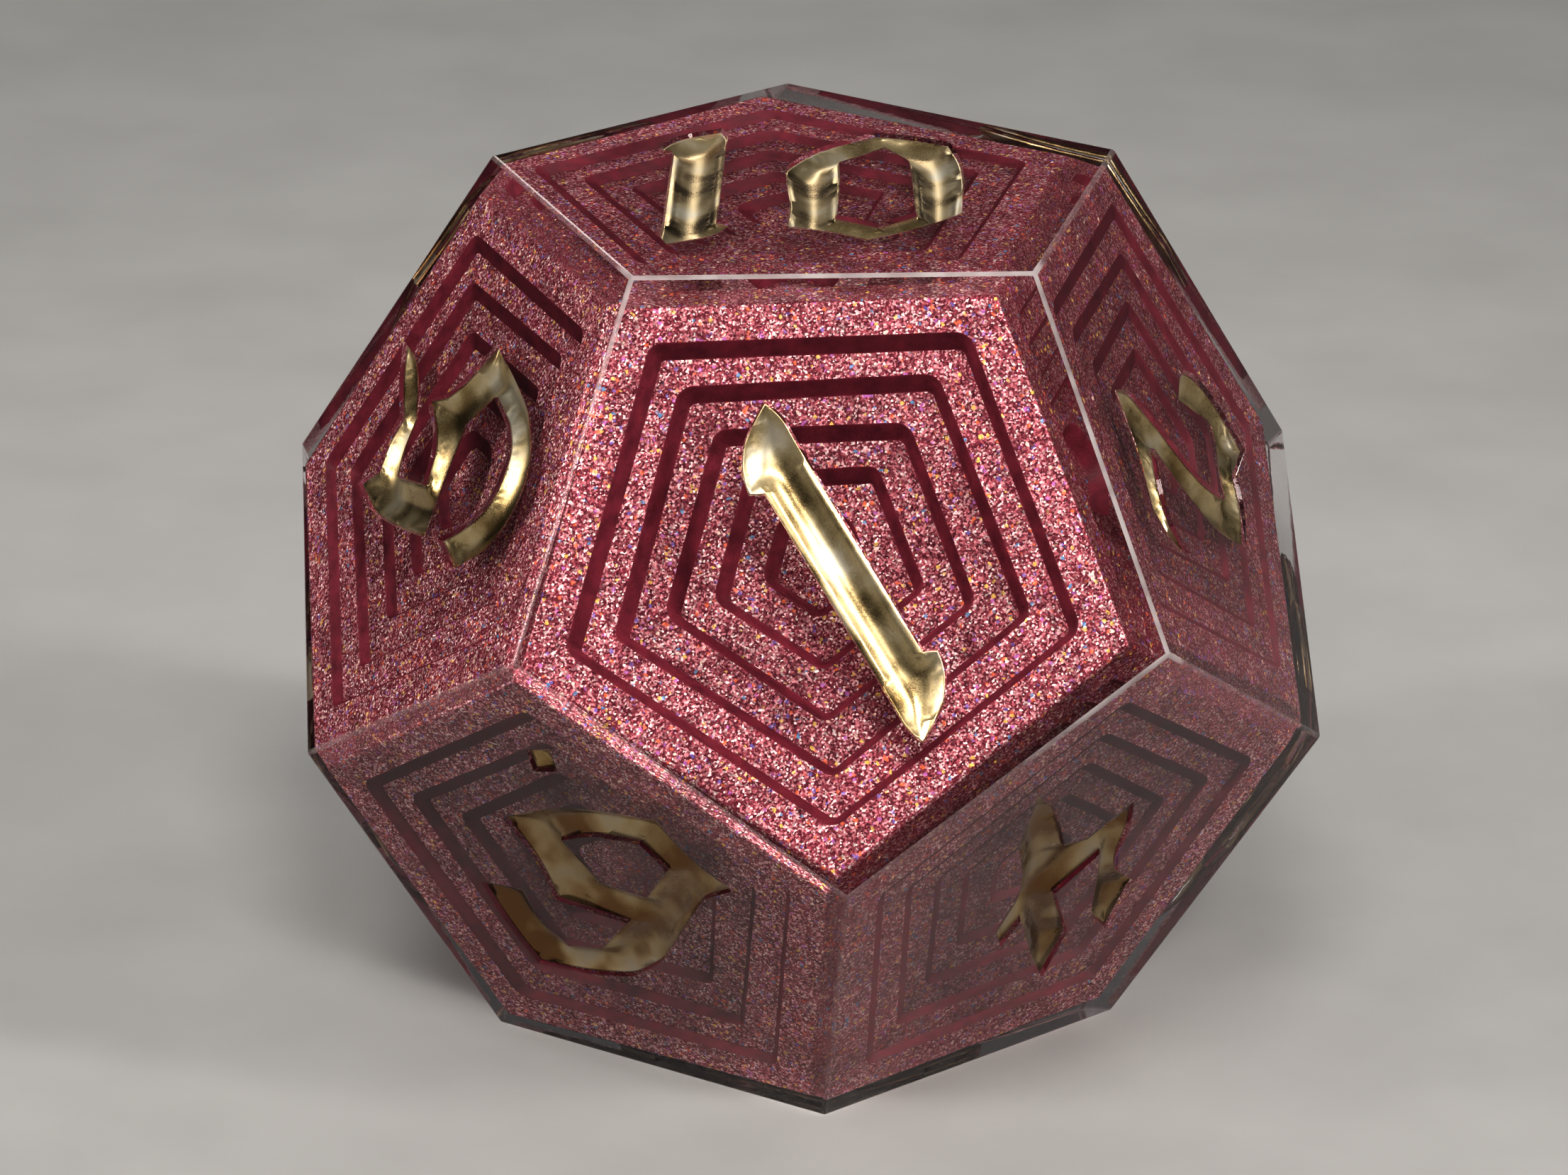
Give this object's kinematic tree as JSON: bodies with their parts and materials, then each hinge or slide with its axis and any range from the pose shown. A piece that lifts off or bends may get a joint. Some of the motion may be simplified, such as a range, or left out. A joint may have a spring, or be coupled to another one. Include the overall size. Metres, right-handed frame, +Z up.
{
  "type": "polyhedral die",
  "caption": "Sharp-edged clear resin dodecahedron die cast round a stepped glitter core, with gold-lined engraved numerals.",
  "frame": {"origin": "centre of the face that the die rests on (face 3)", "axes": "+Z up out of the top face (10), -Y towards the face numbered 1, +X to the right seen from there"},
  "size_m": [0.0236, 0.0248, 0.02],
  "materials": {
    "clear_resin": "polished water-clear epoxy resin with fine sanded edges",
    "glitter_resin": "pink mica and fine multicolour glitter in burgundy resin",
    "gold_paint": "champagne-gold metallic acrylic paint"
  },
  "bodies": {
    "root": {"clear_lower_pour": "clear_resin", "clear_upper_pour": "clear_resin", "glitter_core": "glitter_resin", "numeral_1": "gold_paint", "numeral_2": "gold_paint", "numeral_3": "gold_paint", "numeral_4": "gold_paint", "numeral_5": "gold_paint", "numeral_6": "gold_paint", "numeral_6_dot": "gold_paint", "numeral_7": "gold_paint", "numeral_8": "gold_paint", "numeral_9": "gold_paint", "numeral_9_dot": "gold_paint", "numeral_10_tens": "gold_paint", "numeral_10_units": "gold_paint", "numeral_11_tens": "gold_paint", "numeral_11_units": "gold_paint", "numeral_12_tens": "gold_paint", "numeral_12_units": "gold_paint"}
  },
  "joints": []
}
